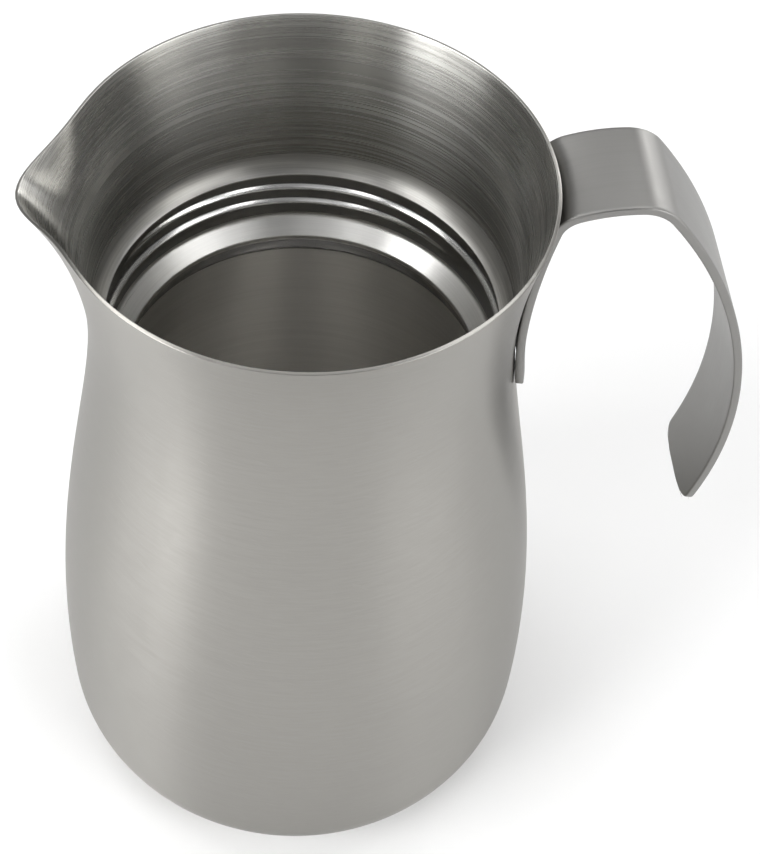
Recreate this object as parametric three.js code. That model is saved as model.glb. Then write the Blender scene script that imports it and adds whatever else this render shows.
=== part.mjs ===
// Vacuum-insulated steel jug with a pressed spout and a strip handle, in millimetres.
// The origin is the centre of the base, +Z is up, the handle points along +X and the spout along -X.
import * as THREE from 'three';
import { mergeVertices } from 'three/addons/utils/BufferGeometryUtils.js';

// Clearance between pieces that touch on the real jug
const FIT_GAP = 0.3;

// Outer shell
const JUG_HEIGHT = 207;
const RIM_RADIUS = 54;
const WAIST_RADIUS = 49.8;
const WAIST_DROP = 36.5;
const BELLY_RADIUS = 67.9;
const BOTTOM_CORNER = 18;
const WAIST_REACH = 35;
const BELLY_REACH = 76;
const OUTER_SHEET = 0.8;
const BASE_FLANGE = 3.4;

// Spout pressed into the rim
const SPOUT_REACH = 7.7;
const SPOUT_SPREAD = THREE.MathUtils.degToRad(13.1);
const SPOUT_DEPTH = 34;
const LIP_DIP = 3.75;
const LIP_DIP_SPREAD = THREE.MathUtils.degToRad(17.5);

// Neck collar, from its weld at the waist down to the flask
const COLLAR_SHEET = 0.8;
const COLLAR_EDGE = 0.2;
const SHOULDER_HEIGHT = 7.4;
const SHOULDER_STEP = 1.6;
const SHOULDER_LAND = 0.35;
const UNDERCUT = 1.4;
const THREAD_INSET = 0.5;
const THREAD_PITCH = 4.9;
const THREAD_TURNS = 1.34;
const THREAD_START = THREE.MathUtils.degToRad(34);
const THREAD_HEIGHT = 1.4;
const THREAD_RIDGE = 2.4;
const THREAD_RUN_OUT = THREE.MathUtils.degToRad(25);
const THREAD_LEAD = 3.1;
const THREAD_FOOT = 4.1;
const SEAT_WIDTH = 4.3;
const SEAT_HEIGHT = 3.7;
const SEAT_LIP = 1.2;
const THROAT_HEIGHT = 5.8;

// Inner flask and the vacuum space round it
const VACUUM_GAP = 6.5;
const FLASK_SHEET = 0.7;
const FLASK_SEAM = 11;
const FOIL = 0.3;
const FOIL_HEM = 8;

// Base
const BOTTOM_SHEET = 0.8;
const DIMPLE_RADIUS = 9;
const DIMPLE_SLOPE = 2.5;
const DIMPLE_RISE = 2.2;
const PUMP_HOLE_RADIUS = 1.5;
const BEAD_RADIUS = 3;
const BEAD_FACE_RADIUS = 2.1;
const BEAD_THICKNESS = 0.8;
const BEAD_STANDOUT = 0.5;

// Getter, beside the dimple
const GETTER_OFFSET = 24;
const GETTER_RADIUS = 4.3;
const GETTER_THICKNESS = 1.8;
const HOLDER_SHEET = 0.5;
const HOLDER_WALL = 1.6;

// Handle strip: its root lies on the neck, then four bends follow each other
const STRIP_WIDTH = 25;
const STRIP_SHEET = 2;
const ROOT_LOW_DROP = 56;
const ROOT_HIGH_DROP = 5.8;
const ROOT_BEND = 6;
const ROOT_TURN = THREE.MathUtils.degToRad(58);
const BRIDGE_ARCH = 33;
const BRIDGE_TURN = THREE.MathUtils.degToRad(21.5);
const OUTER_BEND = 10;
const OUTER_TURN = THREE.MathUtils.degToRad(49);
const GRIP_CURVE = 117;
const GRIP_TURN = THREE.MathUtils.degToRad(55);
const FLATTENING_LENGTH = 20;
const TIP_ROUNDING = 4.5;
const TIP_SQUARENESS = 2.8;

// Facets, and the distance under which two points are one
const SHELL_SEGMENTS = 64;
const NECK_SEGMENTS = 48;
const FLASK_SEGMENTS = 36;
const SMALL_SEGMENTS = 20;
const CORNER_STEPS = 6;
const BELLY_STEPS = 14;
const MOUTH_STEPS = 8;
const SHOULDER_STEPS = 5;
const THREAD_ROWS = 30;
const ROOT_STEPS = 8;
const BEND_STEPS = 6;
const GRIP_STEPS = 12;
const TIP_STEPS = 6;
const STRIP_FACETS = 6;
const SAME_POINT = 0.01;

// Places that follow from the sizes
const WAIST_HEIGHT = JUG_HEIGHT - WAIST_DROP;
const BASE_FLAT = BELLY_RADIUS - BOTTOM_CORNER;
const BASE_OPENING = BASE_FLAT - BASE_FLANGE;
const COLLAR_RADIUS = WAIST_RADIUS - OUTER_SHEET - FIT_GAP;
const COLLAR_BORE = COLLAR_RADIUS - COLLAR_SHEET;
const THREAD_ROOT = COLLAR_BORE - THREAD_INSET;
const THREAD_ZONE = THREAD_LEAD + THREAD_PITCH * THREAD_TURNS + THREAD_FOOT;
const SHOULDER_EDGE_Z = WAIST_HEIGHT - SHOULDER_HEIGHT;
const THREAD_TOP_Z = SHOULDER_EDGE_Z - UNDERCUT;
const THREAD_BOTTOM_Z = THREAD_TOP_Z - THREAD_ZONE;
const SEAT_Z = THREAD_BOTTOM_Z - SEAT_HEIGHT;
const COLLAR_BOTTOM_Z = SEAT_Z - SEAT_LIP - THROAT_HEIGHT;
const FLASK_TOP_Z = COLLAR_BOTTOM_Z - FIT_GAP;
const FLASK_INSET = OUTER_SHEET + VACUUM_GAP;
const BOTTOM_Z = OUTER_SHEET + FIT_GAP;
const BOTTOM_TOP_Z = BOTTOM_Z + BOTTOM_SHEET;

const point = (radius, height) => new THREE.Vector2(radius, height);

// The shell's outside from the base opening up to the rim
function shellOutline() {
  const path = new THREE.Path();
  path.moveTo(BASE_OPENING, 0);
  path.lineTo(BASE_FLAT, 0);
  path.absarc(BASE_FLAT, BOTTOM_CORNER, BOTTOM_CORNER, -Math.PI / 2, 0);
  path.bezierCurveTo(
    BELLY_RADIUS, BOTTOM_CORNER + BELLY_REACH,
    WAIST_RADIUS, WAIST_HEIGHT - WAIST_REACH,
    WAIST_RADIUS, WAIST_HEIGHT,
  );
  path.quadraticCurveTo(WAIST_RADIUS, WAIST_HEIGHT + WAIST_DROP / 2, RIM_RADIUS, JUG_HEIGHT);
  const steps = {
    LineCurve: 1,
    EllipseCurve: CORNER_STEPS,
    CubicBezierCurve: BELLY_STEPS,
    QuadraticBezierCurve: MOUTH_STEPS,
  };
  const points = path.curves.flatMap((curve) => curve.getPoints(steps[curve.type]));
  return points.filter((p, i) => i === 0 || p.distanceTo(points[i - 1]) > SAME_POINT);
}

// The same outline moved towards the inside of the jug
function offset(points, distance) {
  return points.map((p, i) => {
    const before = points[Math.max(i - 1, 0)];
    const after = points[Math.min(i + 1, points.length - 1)];
    const along = after.clone().sub(before).normalize();
    return point(p.x - along.y * distance, p.y + along.x * distance);
  });
}

function radiusAt(points, height) {
  const i = Math.max(points.findIndex((p) => p.y >= height), 1);
  const [low, high] = [points[i - 1], points[i]];
  return THREE.MathUtils.mapLinear(height, low.y, high.y, low.x, high.x);
}

function between(points, low, high) {
  const inner = points.filter((p) => p.y > low && p.y < high);
  return [point(radiusAt(points, low), low), ...inner, point(radiusAt(points, high), high)];
}

// A solid of revolution: outer side upwards, then inner side downwards
function revolve(profile, segments, reshape) {
  const outline = profile[0].x > 0 ? [...profile, profile[0]] : profile;
  const geometry = new THREE.LatheGeometry(outline, segments).rotateX(Math.PI / 2);
  geometry.deleteAttribute('normal');
  geometry.deleteAttribute('uv');
  const solid = mergeVertices(geometry);
  if (reshape) {
    const position = solid.getAttribute('position');
    const vertex = new THREE.Vector3();
    for (let i = 0; i < position.count; i += 1) {
      reshape(vertex.fromBufferAttribute(position, i));
      position.setXYZ(i, vertex.x, vertex.y, vertex.z);
    }
  }
  solid.computeVertexNormals();
  return solid;
}

const wall = (outside, inside) => [...outside, ...inside.toReversed()];
const disc = (radius, low, high) => [point(0, low), point(radius, low), point(radius, high), point(0, high)];
const moveOut = (vertex, distance) => {
  const scale = 1 + distance / Math.hypot(vertex.x, vertex.y);
  vertex.x *= scale;
  vertex.y *= scale;
};

const STEEL = { color: 0xa6a49e, roughness: 0.36, metalness: 1 };
const POLISHED = { color: 0xc9c8c4, roughness: 0.14, metalness: 1 };
const DULL_STEEL = { color: 0x8a8680, roughness: 0.45, metalness: 1 };
const COPPER_FOIL = { color: 0xc98b62, roughness: 0.2, metalness: 1 };
const GLASS_BEAD = { color: 0x4d5a52, roughness: 0.15, metalness: 0 };
const GETTER_GREY = { color: 0x55534f, roughness: 0.85, metalness: 0.3 };

const jug = new THREE.Group();
jug.name = 'insulated_jug';

function add(name, geometry, finish) {
  const mesh = new THREE.Mesh(geometry, new THREE.MeshStandardMaterial(finish));
  mesh.name = name;
  jug.add(mesh);
  return mesh;
}

const shellOutside = shellOutline();
const shellInside = offset(shellOutside, OUTER_SHEET);
const flaskOutside = offset(shellOutside, FLASK_INSET);
const flaskInside = offset(shellOutside, FLASK_INSET + FLASK_SHEET);

// The spout pushes the wall out most at the rim, and fades away down to its depth
function pressSpout(vertex) {
  const fade = Math.max(0, 1 - (JUG_HEIGHT - vertex.z) / SPOUT_DEPTH);
  const turn = Math.PI - Math.abs(Math.atan2(vertex.y, vertex.x));
  const swell = (spread) => Math.exp(-((turn / spread) ** 2));
  moveOut(vertex, SPOUT_REACH * swell(SPOUT_SPREAD) * fade ** 2);
  vertex.z -= LIP_DIP * swell(LIP_DIP_SPREAD) * fade;
}

add('outer_shell', revolve(wall(shellOutside, shellInside), SHELL_SEGMENTS, pressSpout), STEEL);

// Neck collar: its visible side runs from its thin upper edge over shoulder, thread and seat to the flask
function collarProfile() {
  const shoulder = new THREE.QuadraticBezierCurve(
    point(COLLAR_RADIUS - COLLAR_EDGE, WAIST_HEIGHT),
    point(COLLAR_RADIUS - COLLAR_EDGE, WAIST_HEIGHT - SHOULDER_HEIGHT / 2),
    point(COLLAR_BORE - SHOULDER_STEP, SHOULDER_EDGE_Z),
  );
  const threadRows = Array.from({ length: THREAD_ROWS + 1 }, (_, i) => (
    point(THREAD_ROOT, THREAD_TOP_Z - (THREAD_ZONE * i) / THREAD_ROWS)
  ));
  const seatBore = THREAD_ROOT - SEAT_WIDTH;
  const visible = [
    ...shoulder.getPoints(SHOULDER_STEPS),
    point(COLLAR_BORE - SHOULDER_STEP, SHOULDER_EDGE_Z - SHOULDER_LAND),
    ...threadRows,
    point(seatBore + SEAT_LIP / 2, SEAT_Z + SEAT_LIP / 2),
    point(seatBore, SEAT_Z),
    point(seatBore, SEAT_Z - SEAT_LIP),
    point(radiusAt(flaskInside, COLLAR_BOTTOM_Z), COLLAR_BOTTOM_Z),
  ];
  const hidden = [
    point(radiusAt(flaskOutside, COLLAR_BOTTOM_Z), COLLAR_BOTTOM_Z),
    point(seatBore + COLLAR_SHEET, SEAT_Z - SEAT_LIP),
    point(THREAD_ROOT + COLLAR_SHEET, THREAD_BOTTOM_Z - COLLAR_SHEET / 2),
    point(THREAD_ROOT + COLLAR_SHEET, THREAD_TOP_Z),
    point(COLLAR_RADIUS, SHOULDER_EDGE_Z + SHOULDER_STEP),
    point(COLLAR_RADIUS, WAIST_HEIGHT),
  ];
  return [...hidden, ...visible];
}

// One rolled ridge climbs anticlockwise round the neck and runs out at both ends
function rollThread(vertex) {
  const radius = Math.hypot(vertex.x, vertex.y);
  const inZone = vertex.z < THREAD_TOP_Z && vertex.z > THREAD_BOTTOM_Z;
  if (!inZone || radius > THREAD_ROOT + COLLAR_SHEET / 2) return;
  const length = THREAD_TURNS * 2 * Math.PI;
  const first = Math.atan2(vertex.y, vertex.x) - THREAD_START;
  for (let turn = 0; turn <= Math.ceil(THREAD_TURNS); turn += 1) {
    const travelled = first + turn * 2 * Math.PI;
    const ridgeZ = THREAD_BOTTOM_Z + THREAD_FOOT + (THREAD_PITCH * travelled) / (2 * Math.PI);
    const away = Math.abs(vertex.z - ridgeZ) / (THREAD_RIDGE / 2);
    const runOut = Math.min(travelled, length - travelled) / THREAD_RUN_OUT;
    if (away < 1 && runOut > 0) {
      moveOut(vertex, -THREAD_HEIGHT * Math.cos((away * Math.PI) / 2) ** 2 * Math.min(runOut, 1));
    }
  }
}

add('neck_collar', revolve(collarProfile(), NECK_SEGMENTS, rollThread), POLISHED);

// Inner flask: a wall that follows the shell, and a dished bottom
const flaskWall = wall(
  between(flaskOutside, FLASK_SEAM, FLASK_TOP_Z),
  between(flaskInside, FLASK_SEAM, FLASK_TOP_Z),
);
add('flask_wall', revolve(flaskWall, FLASK_SEGMENTS), DULL_STEEL);

const dish = (points) => {
  const edge = FLASK_SEAM - FIT_GAP;
  const curved = points.filter((p) => p.x >= BASE_FLAT && p.y < edge);
  return [point(0, points[0].y), ...curved, point(radiusAt(points, edge), edge)];
};
add('flask_bottom', revolve(wall(dish(flaskOutside), dish(flaskInside)), FLASK_SEGMENTS), DULL_STEEL);

// Reflector: foil round the flask wall, and a foil disc under its bottom
const foilLow = FLASK_SEAM + FOIL_HEM;
const foilHigh = FLASK_TOP_Z - FOIL_HEM;
const foilInset = FLASK_INSET - FIT_GAP;
const foilWrap = wall(
  between(offset(shellOutside, foilInset - FOIL), foilLow, foilHigh),
  between(offset(shellOutside, foilInset), foilLow, foilHigh),
);
add('reflector_foil', revolve(foilWrap, FLASK_SEGMENTS), COPPER_FOIL);
add('reflector_disc', revolve(disc(BASE_OPENING, foilInset - FOIL, foilInset), FLASK_SEGMENTS), COPPER_FOIL);

// Outer bottom: a pressed disc with a raised dimple round the pump hole
const bottomSide = (low) => [
  point(PUMP_HOLE_RADIUS, low + DIMPLE_RISE),
  point(DIMPLE_RADIUS - DIMPLE_SLOPE, low + DIMPLE_RISE),
  point(DIMPLE_RADIUS, low),
  point(BASE_FLAT, low),
];
const outerBottom = wall(bottomSide(BOTTOM_Z), bottomSide(BOTTOM_TOP_Z));
add('outer_bottom', revolve(outerBottom, SHELL_SEGMENTS), STEEL);

const beadTop = BOTTOM_Z + DIMPLE_RISE - FIT_GAP;
const stemRadius = PUMP_HOLE_RADIUS - FIT_GAP;
const stemTop = BOTTOM_TOP_Z + DIMPLE_RISE + BEAD_STANDOUT;
const bead = [
  point(0, beadTop - BEAD_THICKNESS),
  point(BEAD_FACE_RADIUS, beadTop - BEAD_THICKNESS),
  point(BEAD_RADIUS, beadTop - BEAD_THICKNESS / 2),
  point(BEAD_RADIUS, beadTop),
  point(stemRadius, beadTop),
  point(stemRadius, stemTop),
  point(0, stemTop),
];
add('seal_bead', revolve(bead, SMALL_SEGMENTS), GLASS_BEAD);

// Base cover: as thick as the shell's turned-in edge, which it lies level with
const cover = disc(BASE_OPENING - FIT_GAP, 0, OUTER_SHEET);
add('base_cover', revolve(cover, SHELL_SEGMENTS), STEEL);

// Getter: a pill in a small cup on the outer bottom
const cupFloorZ = BOTTOM_TOP_Z + FIT_GAP;
const cupBore = GETTER_RADIUS + FIT_GAP;
const cup = [
  point(0, cupFloorZ),
  point(cupBore + HOLDER_SHEET, cupFloorZ),
  point(cupBore + HOLDER_SHEET, cupFloorZ + HOLDER_SHEET + HOLDER_WALL),
  point(cupBore, cupFloorZ + HOLDER_SHEET + HOLDER_WALL),
  point(cupBore, cupFloorZ + HOLDER_SHEET),
  point(0, cupFloorZ + HOLDER_SHEET),
];
const pillZ = cupFloorZ + HOLDER_SHEET + FIT_GAP;
const pill = disc(GETTER_RADIUS, pillZ, pillZ + GETTER_THICKNESS);
add('getter_holder', revolve(cup, SMALL_SEGMENTS), DULL_STEEL).position.x = GETTER_OFFSET;
add('getter_pill', revolve(pill, SMALL_SEGMENTS), GETTER_GREY).position.x = GETTER_OFFSET;

// A bend turns the strip's heading down about a centre on its inner side
const bendCentre = ({ at, heading }, radius) => (
  point(Math.sin(heading), -Math.cos(heading)).multiplyScalar(radius).add(at)
);
const onBend = (centre, heading, radius) => (
  point(-Math.sin(heading), Math.cos(heading)).multiplyScalar(radius).add(centre)
);

// Handle strip: stations along its middle line, each with its direction and the length bent so far
function handleStations() {
  const bends = [
    { radius: ROOT_BEND, turn: ROOT_TURN, steps: BEND_STEPS },
    { radius: BRIDGE_ARCH, turn: BRIDGE_TURN, steps: BEND_STEPS },
    { radius: OUTER_BEND, turn: OUTER_TURN, steps: BEND_STEPS },
    { radius: GRIP_CURVE, turn: GRIP_TURN, steps: GRIP_STEPS },
  ];
  const lift = FIT_GAP + STRIP_SHEET / 2;
  const stations = [];
  for (let i = 0; i <= ROOT_STEPS; i += 1) {
    const drop = THREE.MathUtils.lerp(ROOT_LOW_DROP, ROOT_HIGH_DROP, i / ROOT_STEPS);
    const height = JUG_HEIGHT - drop;
    const low = height - STRIP_SHEET;
    const high = height + STRIP_SHEET;
    const along = point(radiusAt(shellOutside, high) - radiusAt(shellOutside, low), high - low);
    const at = point(radiusAt(shellOutside, height) + lift, height);
    stations.push({ at, heading: Math.atan2(along.y, along.x), bent: 0 });
  }
  for (const { radius, turn, steps } of bends) {
    const start = stations.at(-1);
    const centre = bendCentre(start, radius);
    for (let i = 1; i <= steps; i += 1) {
      const turned = (turn * i) / steps;
      const heading = start.heading - turned;
      const at = onBend(centre, heading, radius);
      stations.push({ at, heading, bent: start.bent + turned * radius });
    }
  }
  return roundTip(stations);
}

// The free end is cut to a rounded square, so the last stations grow narrower
function roundTip(stations) {
  const end = stations.at(-1);
  const body = stations.filter(({ bent }) => bent < end.bent - TIP_ROUNDING);
  const centre = bendCentre(end, GRIP_CURVE);
  const power = 2 / TIP_SQUARENESS;
  const tip = Array.from({ length: TIP_STEPS }, (_, i) => {
    const angle = (Math.PI / 2) * (i / TIP_STEPS);
    const back = TIP_ROUNDING * (1 - Math.sin(angle) ** power);
    const heading = end.heading + back / GRIP_CURVE;
    const at = onBend(centre, heading, GRIP_CURVE);
    return { at, heading, bent: end.bent - back, narrowing: Math.cos(angle) ** power };
  });
  return [...body, ...tip];
}

// Each station is a ring of points: the outer face across the strip, then the inner face back
function stripRing({ at, heading, bent, narrowing = 1 }) {
  const hug = 1 - THREE.MathUtils.smoothstep(bent, 0, FLATTENING_LENGTH);
  const halfWidth = (STRIP_WIDTH / 2) * narrowing;
  const across = Array.from({ length: STRIP_FACETS + 1 }, (_, i) => halfWidth * ((2 * i) / STRIP_FACETS - 1));
  const place = (y, side) => {
    const hollow = hug * (at.x - Math.sqrt(at.x ** 2 - y ** 2));
    const lift = (side * STRIP_SHEET) / 2;
    return [at.x - lift * Math.sin(heading) - hollow, y, at.y + lift * Math.cos(heading)];
  };
  return [...across.map((y) => place(y, 1)), ...across.toReversed().map((y) => place(y, -1))];
}

function stripGeometry(stations) {
  const rings = stations.map(stripRing);
  const size = rings[0].length;
  const index = [];
  const quad = (a, b, c, d) => index.push(a, b, c, a, c, d);
  for (let ring = 0; ring < rings.length - 1; ring += 1) {
    for (let i = 0; i < size; i += 1) {
      const next = (i + 1) % size;
      quad(ring * size + i, (ring + 1) * size + i, (ring + 1) * size + next, ring * size + next);
    }
  }
  const last = (rings.length - 1) * size;
  for (let i = 0; i < STRIP_FACETS; i += 1) {
    const opposite = size - 1 - i;
    quad(i, i + 1, opposite - 1, opposite);
    quad(last + i, last + opposite, last + opposite - 1, last + i + 1);
  }
  const geometry = new THREE.BufferGeometry();
  geometry.setAttribute('position', new THREE.Float32BufferAttribute(rings.flat(2), 3));
  geometry.setIndex(index);
  geometry.computeVertexNormals();
  return geometry;
}

add('handle_strip', stripGeometry(handleStations()), STEEL);

export default jug;
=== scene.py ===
import math

import bpy
from mathutils import Matrix, Vector
from mathutils.geometry import interpolate_bezier


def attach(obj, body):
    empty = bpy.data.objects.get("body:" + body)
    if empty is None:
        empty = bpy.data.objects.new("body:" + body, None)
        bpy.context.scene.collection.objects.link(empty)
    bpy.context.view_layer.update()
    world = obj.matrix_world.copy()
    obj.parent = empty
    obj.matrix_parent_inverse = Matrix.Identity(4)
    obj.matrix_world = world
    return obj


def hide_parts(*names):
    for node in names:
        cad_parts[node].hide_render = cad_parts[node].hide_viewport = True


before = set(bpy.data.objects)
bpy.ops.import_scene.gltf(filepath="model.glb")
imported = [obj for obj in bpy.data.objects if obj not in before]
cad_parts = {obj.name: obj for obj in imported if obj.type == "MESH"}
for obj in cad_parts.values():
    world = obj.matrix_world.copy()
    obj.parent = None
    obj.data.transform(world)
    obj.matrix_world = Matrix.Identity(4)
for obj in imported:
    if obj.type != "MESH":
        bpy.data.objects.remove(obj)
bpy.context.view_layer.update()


# Outer shell
# One drawn sheet of stainless steel, from the turned-in edge under the base up to the rim.
# The spout is pressed out of the flared mouth, and the sheet is brushed round its axis inside and out.
JUG_HEIGHT = 0.207
RIM_RADIUS = 0.054
WAIST_RADIUS = 0.0498
WAIST_HEIGHT = JUG_HEIGHT - 0.0365
WAIST_REACH = 0.035
BELLY_RADIUS = 0.0679
BELLY_REACH = 0.076
BOTTOM_CORNER = 0.018
BASE_FLAT = BELLY_RADIUS - BOTTOM_CORNER
BASE_OPENING = BASE_FLAT - 0.0034
SHELL_SHEET = 0.0008
LIP_ROUND = 0.0002
LIP_SQUARENESS = 4
LIP_ROWS = 10
CORNER_STEP = 6
BELLY_ROWS = 60
MOUTH_ROWS = 32
MOUTH_FLOOR = WAIST_HEIGHT - 0.01
SHELL_STEPS = 192
SPOUT_REACH = 0.0077
SPOUT_SPREAD = math.radians(13.1)
SPOUT_DEPTH = 0.034
LIP_DIP = 0.00375
LIP_DIP_SPREAD = math.radians(17.5)
MERGE_DISTANCE = 0.000002
SHARP_EDGE = math.radians(35)
BRUSHED_ROUND = 0.25
EDGE_TINT = (0.85, 0.85, 0.85, 1)
NOISE_SPAN = (0.3, 0.7)
TONE_SPAN = (0.36, 0.64)
SCRATCH_SPAN = (0.64, 0.74)
SCRATCH_RELIEF = 2.5
BRUSH_DEPTH = 0.0001


def body_line():
    """The body's outer line as radius and height, from the base opening up to the rim."""
    corner = [
        Vector((
            BASE_FLAT + BOTTOM_CORNER * math.sin(math.radians(angle)),
            BOTTOM_CORNER - BOTTOM_CORNER * math.cos(math.radians(angle)),
        ))
        for angle in range(0, 90, CORNER_STEP)
    ]
    belly = interpolate_bezier(
        Vector((BELLY_RADIUS, BOTTOM_CORNER)), Vector((BELLY_RADIUS, BOTTOM_CORNER + BELLY_REACH)),
        Vector((WAIST_RADIUS, WAIST_HEIGHT - WAIST_REACH)), Vector((WAIST_RADIUS, WAIST_HEIGHT)),
        BELLY_ROWS,
    )
    third = (JUG_HEIGHT - WAIST_HEIGHT) / 3
    mouth = interpolate_bezier(
        Vector((WAIST_RADIUS, WAIST_HEIGHT)), Vector((WAIST_RADIUS, WAIST_HEIGHT + third)),
        Vector((RIM_RADIUS - (RIM_RADIUS - WAIST_RADIUS) * 2 / 3, JUG_HEIGHT - third)),
        Vector((RIM_RADIUS, JUG_HEIGHT)), MOUTH_ROWS,
    )
    return [Vector((BASE_OPENING, 0))] + corner + belly[:-1] + mouth


def inset(line, distance):
    """The same line, moved towards the inside of the jug."""
    moved = []
    for i, place in enumerate(line):
        along = (line[min(i + 1, len(line) - 1)] - line[max(i - 1, 0)]).normalized()
        moved.append(place + Vector((-along.y, along.x)) * distance)
    return moved


def turn_profile(name, profile, steps):
    """A point is drawn out along the profile, which is then spun once round the jug's axis."""
    bpy.ops.object.select_all(action="DESELECT")
    bpy.ops.mesh.primitive_plane_add(size=SHELL_SHEET)
    piece = bpy.context.object
    piece.name = piece.data.name = name
    bpy.ops.object.mode_set(mode="EDIT")
    bpy.ops.mesh.merge(type="CENTER")
    bpy.ops.transform.translate(value=(profile[0].x, 0, profile[0].y))
    for before, after in zip(profile, profile[1:]):
        step = after - before
        bpy.ops.mesh.extrude_region_move(TRANSFORM_OT_translate={"value": (step.x, 0, step.y)})
    bpy.ops.mesh.select_all(action="SELECT")
    bpy.ops.mesh.spin(steps=steps, angle=2 * math.pi, center=(0, 0, 0), axis=(0, 0, 1))
    bpy.ops.mesh.select_all(action="SELECT")
    bpy.ops.mesh.remove_doubles(threshold=MERGE_DISTANCE)
    bpy.ops.mesh.normals_make_consistent(inside=False)
    bpy.ops.object.mode_set(mode="OBJECT")
    return piece


def finish_piece(piece, node, material):
    """Smooth shading up to the sharp edges, the finish, and the piece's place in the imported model."""
    bpy.ops.object.select_all(action="DESELECT")
    piece.select_set(True)
    bpy.context.view_layer.objects.active = piece
    bpy.ops.object.shade_smooth_by_angle(angle=SHARP_EDGE)
    piece.data.materials.append(material)
    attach(piece, "root")
    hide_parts(node)


def new_finish(name, metallic):
    """A material, with its node tree and its shader."""
    material = bpy.data.materials.new(name)
    material.use_nodes = True
    shader = material.node_tree.nodes["Principled BSDF"]
    shader.inputs["Metallic"].default_value = metallic
    return material, material.node_tree, shader


def feed(tree, socket, value):
    """Gives an input a link from another node, or a plain value."""
    if isinstance(value, bpy.types.NodeSocket):
        tree.links.new(value, socket)
    else:
        socket.default_value = value


def add_node(tree, kind, **inputs):
    """A node whose named inputs are fed. An underscore in a name stands for a space."""
    node = tree.nodes.new(kind)
    for name, value in inputs.items():
        feed(tree, node.inputs[name.replace("_", " ")], value)
    return node


def calculate(tree, operation, *values):
    """A math node, with its values or links in order."""
    node = tree.nodes.new("ShaderNodeMath")
    node.operation = operation
    for socket, value in zip(node.inputs, values):
        feed(tree, socket, value)
    return node.outputs[0]


def stretch(tree, value, low, high, to_low, to_high):
    """A value between low and high, moved to between the other two."""
    node = add_node(tree, "ShaderNodeMapRange", Value=value, From_Min=low, From_Max=high,
                    To_Min=to_low, To_Max=to_high)
    return node.outputs["Result"]


def mix_colours(tree, share, dark, light):
    """A colour between two, nearer to the light one as the share grows."""
    node = add_node(tree, "ShaderNodeMix", Factor=share)
    node.data_type = "RGBA"
    node.inputs[6].default_value = (*dark, 1)
    node.inputs[7].default_value = (*light, 1)
    return node.outputs[2]


def turned_lines():
    """Lines left by a belt or wheel on a part that turns: rings round the axis that fade in and out."""
    group = bpy.data.node_groups.new("turned_lines", "ShaderNodeTree")
    for name in ("Pitch", "Reach", "Tilt"):
        group.interface.new_socket(name, in_out="INPUT", socket_type="NodeSocketFloat")
    group.interface.new_socket("Lines", in_out="OUTPUT", socket_type="NodeSocketFloat")
    inputs = group.nodes.new("NodeGroupInput").outputs
    outputs = group.nodes.new("NodeGroupOutput").inputs
    place = group.nodes.new("ShaderNodeTexCoord").outputs["Object"]
    x, y, z = add_node(group, "ShaderNodeSeparateXYZ", Vector=place).outputs
    squares = [calculate(group, "MULTIPLY", side, side) for side in (x, y)]
    radius = calculate(group, "SQRT", calculate(group, "ADD", *squares))
    slant = calculate(group, "MULTIPLY", x, inputs["Tilt"])
    along = calculate(group, "ADD", calculate(group, "ADD", z, radius), slant)
    around = [
        calculate(group, "MULTIPLY", calculate(group, "DIVIDE", side, radius), inputs["Reach"])
        for side in (x, y)
    ]
    spread = add_node(group, "ShaderNodeCombineXYZ", X=around[0], Y=around[1],
                      Z=calculate(group, "DIVIDE", along, inputs["Pitch"]))
    noise = add_node(group, "ShaderNodeTexNoise", Vector=spread.outputs[0], Scale=1.0, Detail=1.0)
    group.links.new(noise.outputs[0], outputs["Lines"])
    return group


TURNED_LINES = turned_lines()


def lines(tree, pitch, reach, tilt=0.0):
    """Turned lines of one pitch, longer where the reach is smaller, and tilted where they run askew."""
    node = tree.nodes.new("ShaderNodeGroup")
    node.node_tree = TURNED_LINES
    node.inputs["Pitch"].default_value = pitch
    node.inputs["Reach"].default_value = reach
    node.inputs["Tilt"].default_value = tilt
    return node.outputs["Lines"]


def turned_steel(name, light, dark, roughness, anisotropy, fine, coarse, scratch, bump):
    """Steel brushed round the axis: fine and coarse lines, and a few single scratches."""
    material, tree, shader = new_finish(name, metallic=1.0)
    shader.inputs["Anisotropic"].default_value = anisotropy
    shader.inputs["Anisotropic Rotation"].default_value = BRUSHED_ROUND
    shader.inputs["Specular Tint"].default_value = EDGE_TINT
    tangent = tree.nodes.new("ShaderNodeTangent")
    tangent.direction_type = "RADIAL"
    tangent.axis = "Z"
    tree.links.new(tangent.outputs[0], shader.inputs["Tangent"])
    fine_lines = lines(tree, *fine)
    coarse_lines = lines(tree, *coarse)
    scratches = stretch(tree, lines(tree, *scratch), *SCRATCH_SPAN, 0.0, 1.0)
    grain = calculate(tree, "ADD", calculate(tree, "MULTIPLY", fine_lines, 0.5),
                      calculate(tree, "MULTIPLY", coarse_lines, 0.5))
    tone = calculate(tree, "MAXIMUM", stretch(tree, grain, *TONE_SPAN, 0.0, 1.0), scratches)
    tree.links.new(mix_colours(tree, tone, dark, light), shader.inputs["Base Color"])
    tree.links.new(stretch(tree, grain, *NOISE_SPAN, *roughness), shader.inputs["Roughness"])
    relief = calculate(tree, "ADD", grain, calculate(tree, "MULTIPLY", scratches, SCRATCH_RELIEF))
    height = add_node(tree, "ShaderNodeBump", Height=relief, Strength=bump, Distance=BRUSH_DEPTH)
    tree.links.new(height.outputs[0], shader.inputs["Normal"])
    return material


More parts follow.
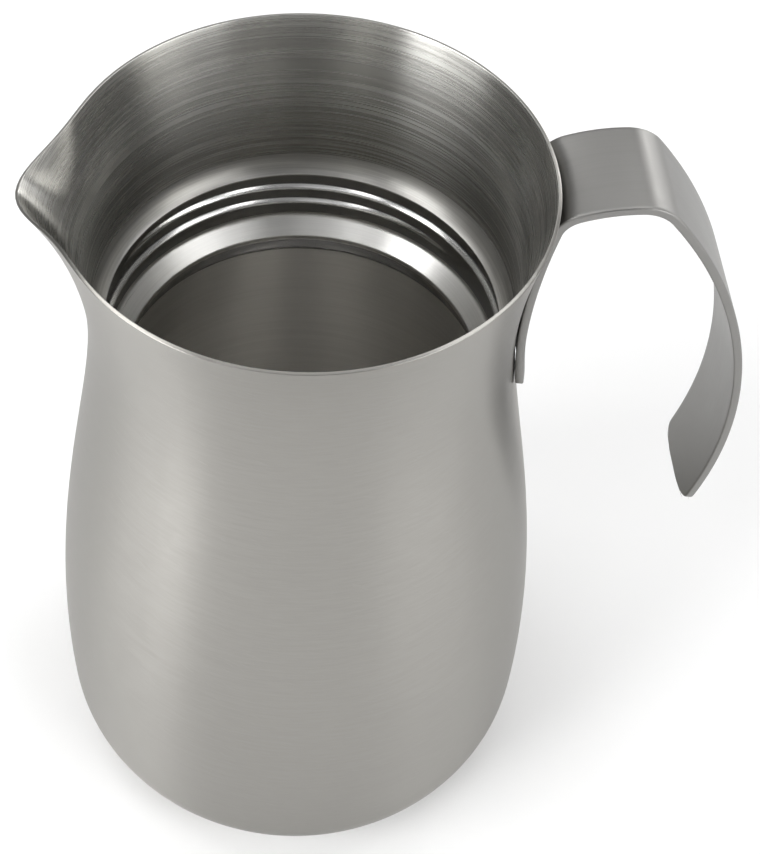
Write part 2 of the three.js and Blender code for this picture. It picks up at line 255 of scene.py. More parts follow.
outer_line = body_line()
rim_along = (outer_line[-1] - outer_line[-2]).normalized()
outer_line[-1] -= rim_along * LIP_ROUND
inner_line = inset(outer_line, SHELL_SHEET)
lip_middle = (outer_line[-1] + inner_line[-1]) / 2
lip_half = (outer_line[-1] - inner_line[-1]) / 2
lip_power = 2 / LIP_SQUARENESS
lip = [
    lip_middle
    + lip_half * math.copysign(abs(math.cos(angle)) ** lip_power, math.cos(angle))
    + rim_along * LIP_ROUND * math.sin(angle) ** lip_power
    for angle in (math.pi * step / LIP_ROWS for step in range(1, LIP_ROWS))
]
shell = turn_profile("drawn_shell", outer_line + lip + inner_line[::-1] + outer_line[:1], SHELL_STEPS)
for vertex in shell.data.vertices:
    fade = max(0, 1 - (JUG_HEIGHT - vertex.co.z) / SPOUT_DEPTH)
    aside = math.pi - abs(math.atan2(vertex.co.y, vertex.co.x))
    push = SPOUT_REACH * math.exp(-(aside / SPOUT_SPREAD) ** 2) * fade ** 2
    grow = 1 + push / math.hypot(vertex.co.x, vertex.co.y)
    vertex.co.x *= grow
    vertex.co.y *= grow
    vertex.co.z -= LIP_DIP * math.exp(-(aside / LIP_DIP_SPREAD) ** 2) * fade
# The shell is one sheet of steel given two tones: the outside's dark tone is painted shade, and the mouth's
# lighter tone below is painted light.
finish_piece(shell, "outer_shell", turned_steel(
    "satin_outside_shaded", light=(0.326, 0.317, 0.298), dark=(0.308, 0.299, 0.280),
    roughness=(0.28, 0.33), anisotropy=0.88, bump=0.1,
    fine=(0.00025, 10.0), coarse=(0.0009, 6.0), scratch=(0.0004, 12.0, 0.35),
))
brushed_mouth_lit = turned_steel(
    "brushed_mouth_lit", light=(0.53, 0.524, 0.50), dark=(0.39, 0.385, 0.366),
    roughness=(0.25, 0.29), anisotropy=0.88, bump=0.03,
    fine=(0.00035, 0.8), coarse=(0.0009, 0.6), scratch=(0.0006, 0.7, 0.05),
)
shell.data.materials.append(brushed_mouth_lit)
# Faces inside the mouth take the lighter tone, which is painted light.
for face in shell.data.polygons:
    facing_axis = face.normal.x * face.center.x + face.normal.y * face.center.y < 0
    face.material_index = 1 if facing_axis and face.center.z > MOUTH_FLOOR else 0


# Handle
# A strip of steel, bent four times. Its root is curved to the neck and welded there.
# Its lower end is free, its edges are broken with a file, and it is brushed along its length.
STRIP_WIDTH = 0.025
STRIP_SHEET = 0.002
WELD_GAP = 0.0003
ROOT_LOW = JUG_HEIGHT - 0.056
ROOT_HIGH = JUG_HEIGHT - 0.0058
ROOT_ROWS = 24
# Each bend has its radius, its turn in degrees and its number of rows.
HANDLE_BENDS = ((0.006, 58, 14), (0.033, 21.5, 8), (0.010, 49, 14), (0.117, 55, 60))
FLATTENING = 0.020
TIP_ROUND = 0.0045
TIP_SQUARENESS = 2.8
TIP_ROWS = 16
STRIP_COLUMNS = 24
FILED_EDGE = 0.0004
FILED_ROWS = 3
FILED_FROM = math.radians(50)
STRIP_LIGHT = (0.245, 0.241, 0.233)
STRIP_DARK = (0.228, 0.225, 0.216)
STRIP_ROUGHNESS = (0.35, 0.44)
STRIP_TONE_SPAN = (0.35, 0.65)
STRIP_GRAIN = (60, 2600, 60)
STRIP_CLOUDS = 90.0
GRAIN_SHARE = 0.6
CLOUD_SHARE = 0.4
STRIP_BUMP = 0.1


def radius_at(line, height):
    """The line's radius at a height, between its two nearest points."""
    for low, high in zip(line, line[1:]):
        if low.y <= height <= high.y and high.y > low.y:
            return low.x + (high.x - low.x) * (height - low.y) / (high.y - low.y)
    return line[-1].x


def eased(share):
    """A share from 0 to 1 that starts and ends gently."""
    return share * share * (3 - 2 * share)


def strip_rows():
    """Rows along the strip's middle: place, heading, length bent so far and share of the full width."""
    rows = []
    for step in range(ROOT_ROWS + 1):
        height = ROOT_LOW + (ROOT_HIGH - ROOT_LOW) * step / ROOT_ROWS
        slope = radius_at(outer_line, height + STRIP_SHEET) - radius_at(outer_line, height - STRIP_SHEET)
        place = Vector((radius_at(outer_line, height) + WELD_GAP + STRIP_SHEET / 2, height))
        rows.append((place, math.atan2(2 * STRIP_SHEET, slope), 0.0, 1.0))
    for radius, turn, steps in HANDLE_BENDS:
        place, heading, bent, _ = rows[-1]
        centre = place + Vector((math.sin(heading), -math.cos(heading))) * radius
        for step in range(1, steps + 1):
            turned = math.radians(turn) * step / steps
            way = heading - turned
            place = centre + Vector((-math.sin(way), math.cos(way))) * radius
            rows.append((place, way, bent + turned * radius, 1.0))
    _, heading, bent, _ = rows[-1]
    rows = [row for row in rows if row[2] < bent - TIP_ROUND]
    power = 2 / TIP_SQUARENESS
    for step in range(TIP_ROWS):
        angle = math.pi / 2 * step / TIP_ROWS
        back = TIP_ROUND * (1 - math.sin(angle) ** power)
        way = heading + back / radius
        place = centre + Vector((-math.sin(way), math.cos(way))) * radius
        rows.append((place, way, bent - back, math.cos(angle) ** power))
    return rows


rows = strip_rows()
bpy.ops.object.select_all(action="DESELECT")
bpy.ops.mesh.primitive_grid_add(x_subdivisions=len(rows) - 1, y_subdivisions=STRIP_COLUMNS, size=1)
strip = bpy.context.object
strip.name = strip.data.name = "bent_strip"
for vertex in strip.data.vertices:
    place, heading, bent, width = rows[round((vertex.co.x + 0.5) * (len(rows) - 1))]
    across = vertex.co.y * STRIP_WIDTH * width
    hug = 1 - eased(min(bent / FLATTENING, 1))
    hollow = hug * (place.x - math.sqrt(place.x ** 2 - across ** 2))
    vertex.co = (place.x - hollow, across, place.y)
thicken = strip.modifiers.new("sheet", "SOLIDIFY")
thicken.thickness = STRIP_SHEET
thicken.offset = 0
thicken.use_even_offset = True
bpy.ops.object.modifier_apply(modifier=thicken.name)
file_edges = strip.modifiers.new("filed_edges", "BEVEL")
file_edges.width = FILED_EDGE
file_edges.segments = FILED_ROWS
file_edges.limit_method = "ANGLE"
file_edges.angle_limit = FILED_FROM
file_edges.use_clamp_overlap = False
bpy.ops.object.modifier_apply(modifier=file_edges.name)
bpy.ops.object.mode_set(mode="EDIT")
bpy.ops.mesh.select_all(action="SELECT")
bpy.ops.mesh.normals_make_consistent(inside=False)
bpy.ops.object.mode_set(mode="OBJECT")


def strip_steel():
    """Strip brushed along its length: straight lines that run with the strip."""
    material, tree, shader = new_finish("brushed_strip", metallic=1.0)
    place = tree.nodes.new("ShaderNodeTexCoord").outputs["Object"]
    spread = add_node(tree, "ShaderNodeMapping", Vector=place, Scale=STRIP_GRAIN)
    grain = add_node(tree, "ShaderNodeTexNoise", Vector=spread.outputs[0], Scale=1.0, Detail=3.0).outputs[0]
    cloud = add_node(tree, "ShaderNodeTexNoise", Vector=place, Scale=STRIP_CLOUDS, Detail=3.0).outputs[0]
    tone = calculate(tree, "ADD", calculate(tree, "MULTIPLY", grain, GRAIN_SHARE),
                     calculate(tree, "MULTIPLY", cloud, CLOUD_SHARE))
    share = stretch(tree, tone, *STRIP_TONE_SPAN, 0.0, 1.0)
    tree.links.new(mix_colours(tree, share, STRIP_DARK, STRIP_LIGHT), shader.inputs["Base Color"])
    tree.links.new(stretch(tree, tone, *NOISE_SPAN, *STRIP_ROUGHNESS), shader.inputs["Roughness"])
    height = add_node(tree, "ShaderNodeBump", Height=tone, Strength=STRIP_BUMP, Distance=BRUSH_DEPTH)
    tree.links.new(height.outputs[0], shader.inputs["Normal"])
    return material


finish_piece(strip, "handle_strip", strip_steel())


# Neck collar
# A ring of polished steel with a shoulder, one coarse rolled thread and a sloping seat for a seal.
# Its shoulder is welded into the waist and ground flush, and its lower edge is welded to the flask.
COLLAR_SHEET = 0.0008
COLLAR_RADIUS = WAIST_RADIUS - SHELL_SHEET - WELD_GAP
COLLAR_BORE = COLLAR_RADIUS - COLLAR_SHEET
SHOULDER_EDGE = WAIST_HEIGHT - 0.0074
SHOULDER_STEP = 0.0016
SHOULDER_LAND = 0.00035
SHOULDER_SWEEP = math.radians(58)
SHOULDER_ROWS = 24
WELD_FEATHER = 0.00003
THREAD_ROOT = COLLAR_BORE - 0.0005
THREAD_PITCH = 0.0049
THREAD_TURNS = 1.34
THREAD_START = math.radians(34)
THREAD_HEIGHT = 0.001
THREAD_RIDGE = 0.0021
THREAD_RUN_OUT = math.radians(38)
THREAD_LEAD = 0.0029
THREAD_FOOT = 0.0043
THREAD_TOP = SHOULDER_EDGE - 0.0014
THREAD_BOTTOM = THREAD_TOP - THREAD_LEAD - THREAD_PITCH * THREAD_TURNS - THREAD_FOOT
THREAD_ROWS = 32
RIDGE_SINK = 0.0003
RIDGE_SET_BACK = RIDGE_SINK / 10
RIDGE_STEPS = 288
RIDGE_SIDES = 64
RIDGE_ROUND = 0.35
RIDGE_MERGE = 0.000005
# The thread's root is painted darker, as shade between the ridges: its tone and the radii where that
# painted shade fades in.
ROOT_SHADE_TONE = 0.45
ROOT_SHADE_FROM = THREAD_ROOT - THREAD_HEIGHT / 8
ROOT_SHADE_TO = THREAD_ROOT - THREAD_HEIGHT / 16
SEAT = THREAD_BOTTOM - 0.0037
SEAT_BORE = THREAD_ROOT - 0.0043
SEAT_LIP = 0.0012
SEAT_FILLET = 0.0008
LIP_ROUNDING = 0.0004
ROUNDING_ROWS = 8
WELD_BEAD = 0.0002
WELD_LENGTH = 0.0009
WELD_ROWS = 10
COLLAR_BOTTOM = SEAT - SEAT_LIP - 0.0058
FLASK_INSET = SHELL_SHEET + 0.0065
FLASK_SHEET = 0.0007
NECK_STEPS = 192

flask_outside = inset(outer_line, FLASK_INSET)
flask_inside = inset(outer_line, FLASK_INSET + FLASK_SHEET)


def rounded(before, corner, after, size):
    """A corner of a profile, rounded off over the same length on both sides."""
    start = corner + (before - corner).normalized() * size
    end = corner + (after - corner).normalized() * size
    return interpolate_bezier(
        start, start.lerp(corner, 2 / 3), end.lerp(corner, 2 / 3), end, ROUNDING_ROWS,
    )


def collar_profile():
    """From the hidden side up to the thin edge, then down the visible side to the weld at the flask."""
    wall = COLLAR_RADIUS + WELD_GAP - WELD_FEATHER
    neck = wall - WELD_FEATHER
    bend = (neck - COLLAR_BORE + SHOULDER_STEP) / (1 - math.cos(SHOULDER_SWEEP))
    weld_height = SHOULDER_EDGE + bend * math.sin(SHOULDER_SWEEP)
    shoulder = [
        Vector((neck - bend * (1 - math.cos(angle)), weld_height - bend * math.sin(angle)))
        for angle in (SHOULDER_SWEEP * step / SHOULDER_ROWS for step in range(SHOULDER_ROWS + 1))
    ]
    thread_rows = [
        Vector((THREAD_ROOT, THREAD_TOP + (THREAD_BOTTOM + SEAT_FILLET - THREAD_TOP) * row / THREAD_ROWS))
        for row in range(THREAD_ROWS)
    ]
    seat_top = Vector((THREAD_ROOT, THREAD_BOTTOM))
    seat_low = Vector((SEAT_BORE, SEAT))
    lip_low = Vector((SEAT_BORE, SEAT - SEAT_LIP))
    weld = Vector((radius_at(flask_inside, COLLAR_BOTTOM), COLLAR_BOTTOM))
    down = (weld - lip_low).normalized()
    proud = Vector((down.y, -down.x)) * WELD_BEAD
    bead = [
        weld - down * WELD_LENGTH * (1 - step / WELD_ROWS) + proud * math.sin(math.pi * step / WELD_ROWS)
        for step in range(WELD_ROWS + 1)
    ]
    hidden = [
        Vector((radius_at(flask_outside, COLLAR_BOTTOM), COLLAR_BOTTOM)),
        Vector((SEAT_BORE + COLLAR_SHEET, SEAT - SEAT_LIP)),
        Vector((THREAD_ROOT + COLLAR_SHEET, THREAD_BOTTOM - COLLAR_SHEET / 2)),
        Vector((THREAD_ROOT + COLLAR_SHEET, THREAD_TOP)),
        Vector((COLLAR_RADIUS, SHOULDER_EDGE + SHOULDER_STEP)),
        Vector((wall, weld_height)),
    ]
    return hidden + [
        *shoulder,
        Vector((COLLAR_BORE - SHOULDER_STEP, SHOULDER_EDGE - SHOULDER_LAND)),
        *thread_rows,
        *rounded(thread_rows[-1], seat_top, seat_low, SEAT_FILLET),
        *rounded(seat_top, seat_low, lip_low, LIP_ROUNDING),
        *rounded(seat_low, lip_low, weld, LIP_ROUNDING),
        *bead,
        hidden[0],
    ]


def rolled_ridge():
    """The thread's ridge with its rounded crest, wound up the neck. Its back is sunk into the wall."""
    bpy.ops.object.select_all(action="DESELECT")
    bpy.ops.mesh.primitive_grid_add(x_subdivisions=RIDGE_STEPS, y_subdivisions=RIDGE_SIDES, size=1)
    ridge = bpy.context.object
    for vertex in ridge.data.vertices:
        share = vertex.co.x + 0.5
        travelled = share * THREAD_TURNS * 2 * math.pi
        run_out = min(1, min(share, 1 - share) * THREAD_TURNS * 2 * math.pi / THREAD_RUN_OUT)
        around = vertex.co.y * 2 * math.pi
        rise = RIDGE_SINK * math.cos(around)
        if rise > 0:
            slope = math.hypot(1, RIDGE_ROUND) - math.hypot(math.sin(around), RIDGE_ROUND)
            rise = THREAD_HEIGHT * run_out * slope / (math.hypot(1, RIDGE_ROUND) - RIDGE_ROUND)
        radius = THREAD_ROOT + RIDGE_SET_BACK - rise
        height = THREAD_BOTTOM + THREAD_FOOT + THREAD_PITCH * THREAD_TURNS * share
        vertex.co = (
            radius * math.cos(THREAD_START + travelled),
            radius * math.sin(THREAD_START + travelled),
            height + math.sin(around) * THREAD_RIDGE / 2,
        )
    bpy.ops.object.mode_set(mode="EDIT")
    bpy.ops.mesh.select_all(action="SELECT")
    bpy.ops.mesh.remove_doubles(threshold=MERGE_DISTANCE)
    bpy.ops.mesh.fill_holes(sides=0)
    bpy.ops.mesh.normals_make_consistent(inside=False)
    bpy.ops.object.mode_set(mode="OBJECT")
    return ridge


def shade_thread_root(material):
    """Paints shade into the thread's root: the base colour darkens towards the root between the ridges, and
    the ridge stays bright.
    """
    tree = material.node_tree
    shader = tree.nodes["Principled BSDF"]
    place = tree.nodes.new("ShaderNodeTexCoord").outputs["Object"]
    level = add_node(tree, "ShaderNodeVectorMath", Vector=place)
    level.operation = "MULTIPLY"
    level.inputs[1].default_value = (1, 1, 0)
    from_axis = add_node(tree, "ShaderNodeVectorMath", Vector=level.outputs["Vector"])
    from_axis.operation = "LENGTH"
    tone = stretch(tree, from_axis.outputs["Value"], ROOT_SHADE_FROM, ROOT_SHADE_TO, 1.0, ROOT_SHADE_TONE)
    polished = shader.inputs["Base Color"].links[0].from_socket
    shaded_root = add_node(tree, "ShaderNodeVectorMath", Vector=polished)
    shaded_root.operation = "SCALE"
    tree.links.new(tone, shaded_root.inputs["Scale"])
    tree.links.new(shaded_root.outputs["Vector"], shader.inputs["Base Color"])
    return material


ridge = rolled_ridge()
collar = turn_profile("threaded_collar", collar_profile(), NECK_STEPS)
union = collar.modifiers.new("ridge", "BOOLEAN")
union.operation = "UNION"
union.solver = "EXACT"
union.object = ridge
bpy.ops.object.modifier_apply(modifier=union.name)
bpy.data.meshes.remove(ridge.data)
bpy.ops.object.mode_set(mode="EDIT")
bpy.ops.mesh.select_all(action="SELECT")
bpy.ops.mesh.remove_doubles(threshold=RIDGE_MERGE)
bpy.ops.object.mode_set(mode="OBJECT")
# The collar is one piece of steel given a tone for each zone: the bright neck and seat tones are painted
# light, and the darker shoulder and throat tones are painted shade.
polished_neck = turned_steel(
    "polished_neck", light=(0.84, 0.84, 0.83), dark=(0.78, 0.78, 0.77),
    roughness=(0.18, 0.24), anisotropy=0.4, bump=0.02,
    fine=(0.0003, 2.0), coarse=(0.001, 1.5), scratch=(0.0004, 4.0),
)
finish_piece(collar, "neck_collar", shade_thread_root(polished_neck))
collar.data.materials.append(turned_steel(
    "brushed_shoulder", light=(0.52, 0.512, 0.488), dark=(0.40, 0.393, 0.375),
    roughness=(0.34, 0.40), anisotropy=0.84, bump=0.04,
    fine=(0.0004, 1.6), coarse=(0.0009, 1.0), scratch=(0.0006, 0.8, 0.03),
))
# The throat's dark tone is painted shade, deep in the mouth.
collar.data.materials.append(turned_steel(
    "shaded_throat", light=(0.46, 0.46, 0.465), dark=(0.41, 0.41, 0.415),
    roughness=(0.2, 0.26), anisotropy=0.4, bump=0.04,
    fine=(0.0003, 2.0), coarse=(0.001, 1.5), scratch=(0.0004, 4.0),
))
collar.data.materials.append(turned_steel(
    "satin_seat", light=(0.79, 0.785, 0.765), dark=(0.73, 0.725, 0.705),
    roughness=(0.27, 0.33), anisotropy=0.3, bump=0.015,
    fine=(0.0003, 2.0), coarse=(0.001, 1.5), scratch=(0.0004, 4.0),
))
neck_finish, shoulder_finish, throat_finish, seat_finish = range(len(collar.data.materials))
for face in collar.data.polygons:
    if face.center.z > SHOULDER_EDGE:
        face.material_index = shoulder_finish
    elif face.center.z > THREAD_BOTTOM + SEAT_FILLET:
        face.material_index = neck_finish
    elif face.center.z > SEAT - SEAT_LIP:
        face.material_index = seat_finish
    else:
        face.material_index = throat_finish


# Inner flask
# A drawn steel wall that follows the body, with a dished bottom welded to its lower edge.
# Its inside is left as it comes from the lathe: dull, fine rings.
FLASK_TOP = COLLAR_BOTTOM - WELD_GAP
FLASK_SEAM = 0.011
FLASK_STEPS = 160


def stretch_of(line, low, high):
    """The part of a line between two heights."""
    return [
        Vector((radius_at(line, low), low)),
        *[place for place in line if low < place.y < high],
        Vector((radius_at(line, high), high)),
    ]


# The flask wall's light tone is painted light, for the light that reaches down into the flask.
dull_flask_lit = turned_steel(
    "dull_flask_lit", light=(0.80, 0.785, 0.75), dark=(0.74, 0.725, 0.69),
    roughness=(0.30, 0.36), anisotropy=0.8, bump=0.06,
    fine=(0.0004, 2.0), coarse=(0.002, 1.2), scratch=(0.0006, 4.0),
)
wall_outside = stretch_of(flask_outside, FLASK_SEAM, FLASK_TOP)
wall_inside = stretch_of(flask_inside, FLASK_SEAM, FLASK_TOP)
flask = turn_profile("flask_side", wall_outside + wall_inside[::-1] + wall_outside[:1], FLASK_STEPS)
finish_piece(flask, "flask_wall", dull_flask_lit)


def dish(line):
    """One side of the dished bottom, from the axis out to the seam."""
    edge = FLASK_SEAM - WELD_GAP
    curved = [place for place in line if place.x >= BASE_FLAT and place.y < edge]
    return [Vector((0, line[0].y)), *curved, Vector((radius_at(line, edge), edge))]


bottom = turn_profile("flask_dish", dish(flask_outside) + dish(flask_inside)[::-1], FLASK_STEPS)
finish_piece(bottom, "flask_bottom", turned_steel(
    "dull_dish", light=(0.46, 0.45, 0.435), dark=(0.40, 0.39, 0.375),
    roughness=(0.28, 0.34), anisotropy=0.4, bump=0.06,
    fine=(0.0004, 2.0), coarse=(0.002, 1.2), scratch=(0.0006, 4.0),
))


# Reflector
# Bright copper foil in the vacuum space, wrapped round the flask wall and laid as a disc under its bottom.
# It is creased from the wrapping, and its own spring holds it against the flask.
FOIL = 0.0003
FOIL_HEM = 0.008
FOIL_INSET = FLASK_INSET - WELD_GAP
FOIL_STEPS = 120
FOIL_LIGHT = (0.86, 0.58, 0.42)
FOIL_DARK = (0.66, 0.40, 0.27)
FOIL_ROUGHNESS = (0.14, 0.3)
CREASES = 70.0
DENTS = 160.0
DENT_SHARE = 0.4
CREASE_BUMP = 0.4
CREASE_DEPTH = 0.0006


def creased_foil():
    """Copper foil with flat creased fields of slightly different brightness."""
    material, tree, shader = new_finish("creased_foil", metallic=1.0)
    place = tree.nodes.new("ShaderNodeTexCoord").outputs["Object"]
    creases = add_node(tree, "ShaderNodeTexVoronoi", Vector=place, Scale=CREASES).outputs["Distance"]
    dents = add_node(tree, "ShaderNodeTexNoise", Vector=place, Scale=DENTS, Detail=3.0).outputs[0]
    tree.links.new(mix_colours(tree, dents, FOIL_DARK, FOIL_LIGHT), shader.inputs["Base Color"])
    tree.links.new(stretch(tree, dents, *NOISE_SPAN, *FOIL_ROUGHNESS), shader.inputs["Roughness"])
    relief = calculate(tree, "ADD", creases, calculate(tree, "MULTIPLY", dents, DENT_SHARE))
    height = add_node(tree, "ShaderNodeBump", Height=relief, Strength=CREASE_BUMP, Distance=CREASE_DEPTH)
    tree.links.new(height.outputs[0], shader.inputs["Normal"])
    return material


def flat_disc(radius, low, high, edge=0.0):
    """A round plate's profile from its middle below to its middle above, its rim broken by the edge."""
    corners = [
        (0, low), (radius - edge, low), (radius, low + edge),
        (radius, high - edge), (radius - edge, high), (0, high),
    ]
    return [Vector(corner) for corner in corners]


foil_metal = creased_foil()
foil_low = FLASK_SEAM + FOIL_HEM
foil_high = FLASK_TOP - FOIL_HEM
foil_outside = stretch_of(inset(outer_line, FOIL_INSET - FOIL), foil_low, foil_high)
foil_inside = stretch_of(inset(outer_line, FOIL_INSET), foil_low, foil_high)
foil_wrap = turn_profile("foil_wrap", foil_outside + foil_inside[::-1] + foil_outside[:1], FOIL_STEPS)
finish_piece(foil_wrap, "reflector_foil", foil_metal)
foil_disc = turn_profile("foil_disc", flat_disc(BASE_OPENING, FOIL_INSET - FOIL, FOIL_INSET), FOIL_STEPS)
finish_piece(foil_disc, "reflector_disc", foil_metal)


# Base
# A pressed steel disc closes the outer body. Once the air is pumped out, a bead of solder glass
# seals the hole in its dimple, and a flat turned cover, level with the shell's edge, hides both.
BOTTOM_SHEET = 0.0008
BOTTOM_LOW = SHELL_SHEET + WELD_GAP
DIMPLE_RADIUS = 0.009
DIMPLE_SLOPE = 0.0025
DIMPLE_RISE = 0.0022
PUMP_HOLE = 0.0015
BEAD_RADIUS = 0.003
BEAD_HEIGHT = 0.0008
BEAD_STANDOUT = 0.0005
DIMPLE_ROWS = 12
DROP_ROWS = 12
CROWN_ROWS = 8
BEAD_STEPS = 48
COVER_EDGE = 0.0001
BASE_STEPS = 160
GLASS_LIGHT = (0.12, 0.16, 0.13)
GLASS_DARK = (0.05, 0.07, 0.06)
GLASS_FLOW = 900.0
GLASS_ROUGHNESS = 0.12
GLASS_CLEARNESS = 0.3


def bottom_side(low):
    """One side of the pressed disc, from the pump hole out to the rim, with the dimple's slope rounded."""
    slope = [
        Vector((DIMPLE_RADIUS - DIMPLE_SLOPE * (1 - share), low + DIMPLE_RISE * (1 - eased(share))))
        for share in (step / DIMPLE_ROWS for step in range(DIMPLE_ROWS + 1))
    ]
    return [Vector((PUMP_HOLE, low + DIMPLE_RISE)), *slope, Vector((BASE_FLAT, low))]


def solder_glass():
    """Dark green glass, cloudy where it flowed."""
    material, tree, shader = new_finish("solder_glass", metallic=0.0)
    shader.inputs["Roughness"].default_value = GLASS_ROUGHNESS
    shader.inputs["Transmission Weight"].default_value = GLASS_CLEARNESS
    place = tree.nodes.new("ShaderNodeTexCoord").outputs["Object"]
    flow = add_node(tree, "ShaderNodeTexNoise", Vector=place, Scale=GLASS_FLOW, Detail=2.0).outputs[0]
    tree.links.new(mix_colours(tree, flow, GLASS_DARK, GLASS_LIGHT), shader.inputs["Base Color"])
    return material


base_steel = turned_steel(
    "turned_base", light=(0.40, 0.39, 0.37), dark=(0.33, 0.32, 0.30),
    roughness=(0.30, 0.42), anisotropy=0.6, bump=0.2,
    fine=(0.0004, 2.5), coarse=(0.0014, 1.6), scratch=(0.0006, 5.0),
)
low_side = bottom_side(BOTTOM_LOW)
high_side = bottom_side(BOTTOM_LOW + BOTTOM_SHEET)
pressed = turn_profile("pressed_bottom", low_side + high_side[::-1] + low_side[:1], BASE_STEPS)
finish_piece(pressed, "outer_bottom", base_steel)

bead_high = BOTTOM_LOW + DIMPLE_RISE - WELD_GAP
stem = PUMP_HOLE - WELD_GAP
stem_high = BOTTOM_LOW + BOTTOM_SHEET + DIMPLE_RISE + BEAD_STANDOUT
drop = [
    Vector((BEAD_RADIUS * math.sin(angle), bead_high - BEAD_HEIGHT * math.cos(angle)))
    for angle in (math.pi / 2 * step / DROP_ROWS for step in range(DROP_ROWS + 1))
]
crown = [
    Vector((stem * math.cos(angle), stem_high - stem / 2 + stem / 2 * math.sin(angle)))
    for angle in (math.pi / 2 * step / CROWN_ROWS for step in range(CROWN_ROWS + 1))
]
bead = turn_profile("solder_bead", drop + [Vector((stem, bead_high))] + crown, BEAD_STEPS)
finish_piece(bead, "seal_bead", solder_glass())

plate = flat_disc(BASE_OPENING - WELD_GAP, 0, SHELL_SHEET, COVER_EDGE)
cover = turn_profile("base_plate", plate, BASE_STEPS)
finish_piece(cover, "base_cover", base_steel)


# Getter
# A matt pill of sintered metal powder that takes up gas left in the vacuum.
# It lies in a small drawn cup that is welded to the pressed bottom, beside the dimple.
GETTER_OFFSET = 0.024
GETTER_RADIUS = 0.0043
GETTER_HEIGHT = 0.0018
CUP_SHEET = 0.0005
CUP_WALL = 0.0016
PILL_EDGE = 0.0002
GETTER_STEPS = 48
PILL_LIGHT = (0.17, 0.16, 0.15)
PILL_DARK = (0.05, 0.05, 0.05)
PILL_ROUGHNESS = (0.7, 0.95)
PILL_GRIT = 4000.0
PILL_METAL = 0.3


def beside_dimple(piece):
    """Moves a piece that was turned on the jug's axis to the getter's place."""
    bpy.ops.object.mode_set(mode="EDIT")
    bpy.ops.mesh.select_all(action="SELECT")
    bpy.ops.transform.translate(value=(GETTER_OFFSET, 0, 0))
    bpy.ops.object.mode_set(mode="OBJECT")
    return piece


def sintered_powder():
    """Pressed metal powder with a coarse grit."""
    material, tree, shader = new_finish("sintered", metallic=PILL_METAL)
    place = tree.nodes.new("ShaderNodeTexCoord").outputs["Object"]
    grit = add_node(tree, "ShaderNodeTexNoise", Vector=place, Scale=PILL_GRIT, Detail=2.0).outputs[0]
    tree.links.new(mix_colours(tree, grit, PILL_DARK, PILL_LIGHT), shader.inputs["Base Color"])
    tree.links.new(stretch(tree, grit, *NOISE_SPAN, *PILL_ROUGHNESS), shader.inputs["Roughness"])
    return material


cup_floor = BOTTOM_LOW + BOTTOM_SHEET + WELD_GAP
cup_bore = GETTER_RADIUS + WELD_GAP
cup_out = cup_bore + CUP_SHEET
cup_top = cup_floor + CUP_SHEET + CUP_WALL
cup_corners = [
    (0, cup_floor), (cup_out - CUP_SHEET, cup_floor), (cup_out, cup_floor + CUP_SHEET), (cup_out, cup_top),
    (cup_bore, cup_top), (cup_bore, cup_floor + CUP_SHEET), (0, cup_floor + CUP_SHEET),
]
cup = beside_dimple(turn_profile("getter_cup", [Vector(corner) for corner in cup_corners], GETTER_STEPS))
finish_piece(cup, "getter_holder", dull_flask_lit)

pill_low = cup_floor + CUP_SHEET + WELD_GAP
pill_profile = flat_disc(GETTER_RADIUS, pill_low, pill_low + GETTER_HEIGHT, PILL_EDGE)
pill = beside_dimple(turn_profile("sintered_pill", pill_profile, GETTER_STEPS))
finish_piece(pill, "getter_pill", sintered_powder())


# Floor, light and camera
# A floor of white paper, and a surround that is bright at the horizon and dim above it.
# Soft panels round the jug make the bands of light on the steel, and the camera looks into the mouth.
FLOOR_SIZE = 6
PAPER_TONE = 0.9
PAPER_ROUGHNESS = 0.9
# Each tone of the surround has its place, from 0 straight down to 1 straight up, and its brightness.
HORIZON = (0.5, 1.8)
OVERHEAD = (1.0, 0.3)
BETWEEN = ((0.6, 0.7), (0.75, 0.02), (0.92, 0.25))
GLOSSY_BOUNCES = 12
PANEL_DISTANCE = 1.3
CAMERA_PLACE = (-0.01212, -0.23573, JUG_HEIGHT + 0.22691)
CAMERA_HEADING = math.radians(-2.74)
CAMERA_TILT = math.radians(36.813)
CAMERA_ROLL = math.radians(1.387)
LENS = 64.5
SENSOR = 36
LENS_SHIFT = 0.0984


def grey(tone):
    """An even grey as a full colour."""
    return (tone, tone, tone, 1)


bpy.ops.object.select_all(action="DESELECT")
bpy.ops.mesh.primitive_plane_add(size=FLOOR_SIZE, location=(0, 0, 0))
floor = bpy.context.object
floor.name = "floor"
paper, _, shader = new_finish("white_paper", metallic=0.0)
shader.inputs["Base Color"].default_value = grey(PAPER_TONE)
shader.inputs["Roughness"].default_value = PAPER_ROUGHNESS
floor.data.materials.append(paper)

world = bpy.data.worlds.new("studio")
world.use_nodes = True
studio = world.node_tree
surround = studio.nodes["Background"]
surround.inputs["Strength"].default_value = 1.0
view = studio.nodes.new("ShaderNodeTexCoord").outputs["Generated"]
upwards = add_node(studio, "ShaderNodeVectorMath", Vector=view)
upwards.operation = "DOT_PRODUCT"
upwards.inputs[1].default_value = (0, 0, 1)
height = stretch(studio, upwards.outputs["Value"], -1.0, 1.0, 0.0, 1.0)
fall_off = add_node(studio, "ShaderNodeValToRGB", Fac=height)
tones = fall_off.color_ramp.elements
for element, (position, tone) in zip(tones, (HORIZON, OVERHEAD)):
    element.position = position
    element.color = grey(tone)
for position, tone in BETWEEN:
    tones.new(position).color = grey(tone)
studio.links.new(fall_off.outputs[0], surround.inputs["Color"])
bpy.context.scene.world = world
bpy.context.scene.view_settings.view_transform = "Standard"
bpy.context.scene.cycles.glossy_bounces = GLOSSY_BOUNCES


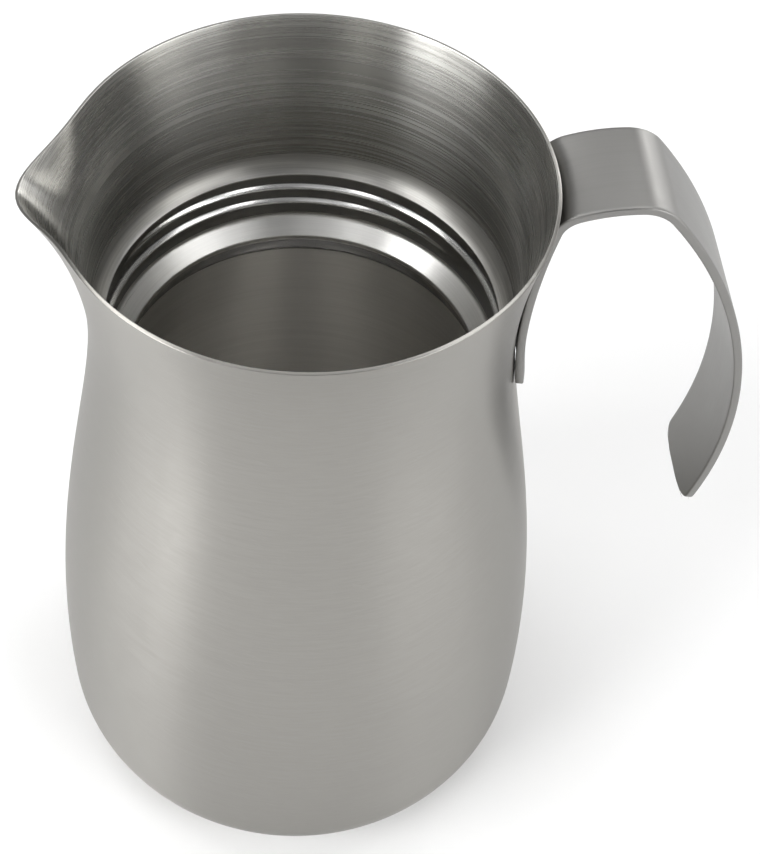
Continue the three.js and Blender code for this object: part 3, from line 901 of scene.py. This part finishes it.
def soft_panel(name, azimuth, elevation, width, height, radiance):
    """A soft rectangular light that faces the jug's mouth."""
    data = bpy.data.lights.new(name, "AREA")
    data.shape = "RECTANGLE"
    data.size = width
    data.size_y = height
    data.energy = radiance * math.pi * width * height
    turn = Matrix.Rotation(math.radians(azimuth), 3, "Z")
    lift = Matrix.Rotation(math.radians(-elevation), 3, "Y")
    out = turn @ lift @ Vector((1, 0, 0))
    light = bpy.data.objects.new(name, data)
    light.matrix_world = (
        Matrix.Translation(Vector((0, 0, JUG_HEIGHT)) + out * PANEL_DISTANCE)
        @ out.to_track_quat("Z", "Y").to_matrix().to_4x4()
    )
    light.visible_camera = False
    bpy.context.scene.collection.objects.link(light)


soft_panel("left_panel", azimuth=205, elevation=12, width=0.85, height=0.55, radiance=7.5)
soft_panel("left_core_panel", azimuth=217, elevation=13, width=0.4, height=0.55, radiance=6.6)
soft_panel("left_high_panel", azimuth=202, elevation=35, width=0.5, height=0.45, radiance=4.2)
soft_panel("right_panel", azimuth=322, elevation=18, width=0.85, height=0.5, radiance=5.8)
soft_panel("right_high_panel", azimuth=332, elevation=38, width=0.55, height=0.4, radiance=2.1)
soft_panel("right_back_panel", azimuth=34, elevation=15, width=0.8, height=0.5, radiance=1.6)
soft_panel("handle_panel", azimuth=48, elevation=22, width=0.25, height=0.3, radiance=5.5)
soft_panel("back_panel", azimuth=88, elevation=49, width=1.1, height=0.6, radiance=1.05)
soft_panel("back_right_panel", azimuth=35, elevation=58, width=0.7, height=0.42, radiance=3.2)
soft_panel("back_left_panel", azimuth=145, elevation=58, width=0.7, height=0.42, radiance=4.5)
soft_panel("front_panel", azimuth=252, elevation=48, width=0.65, height=0.3, radiance=0.5)
soft_panel("front_left_panel", azimuth=230, elevation=55, width=0.2, height=0.24, radiance=3.6)
soft_panel("front_right_panel", azimuth=312, elevation=55, width=0.2, height=0.24, radiance=3.6)
soft_panel("top_panel", azimuth=90, elevation=80, width=0.6, height=0.6, radiance=1.1)

camera_data = bpy.data.cameras.new("camera")
camera_data.lens = LENS
camera_data.sensor_width = SENSOR
camera_data.shift_x = LENS_SHIFT
camera = bpy.data.objects.new("camera", camera_data)
camera.matrix_world = (
    Matrix.Translation(CAMERA_PLACE)
    @ Matrix.Rotation(CAMERA_HEADING, 4, "Z")
    @ Matrix.Rotation(CAMERA_TILT, 4, "X")
    @ Matrix.Rotation(CAMERA_ROLL, 4, "Z")
)
bpy.context.scene.collection.objects.link(camera)
bpy.context.scene.camera = camera
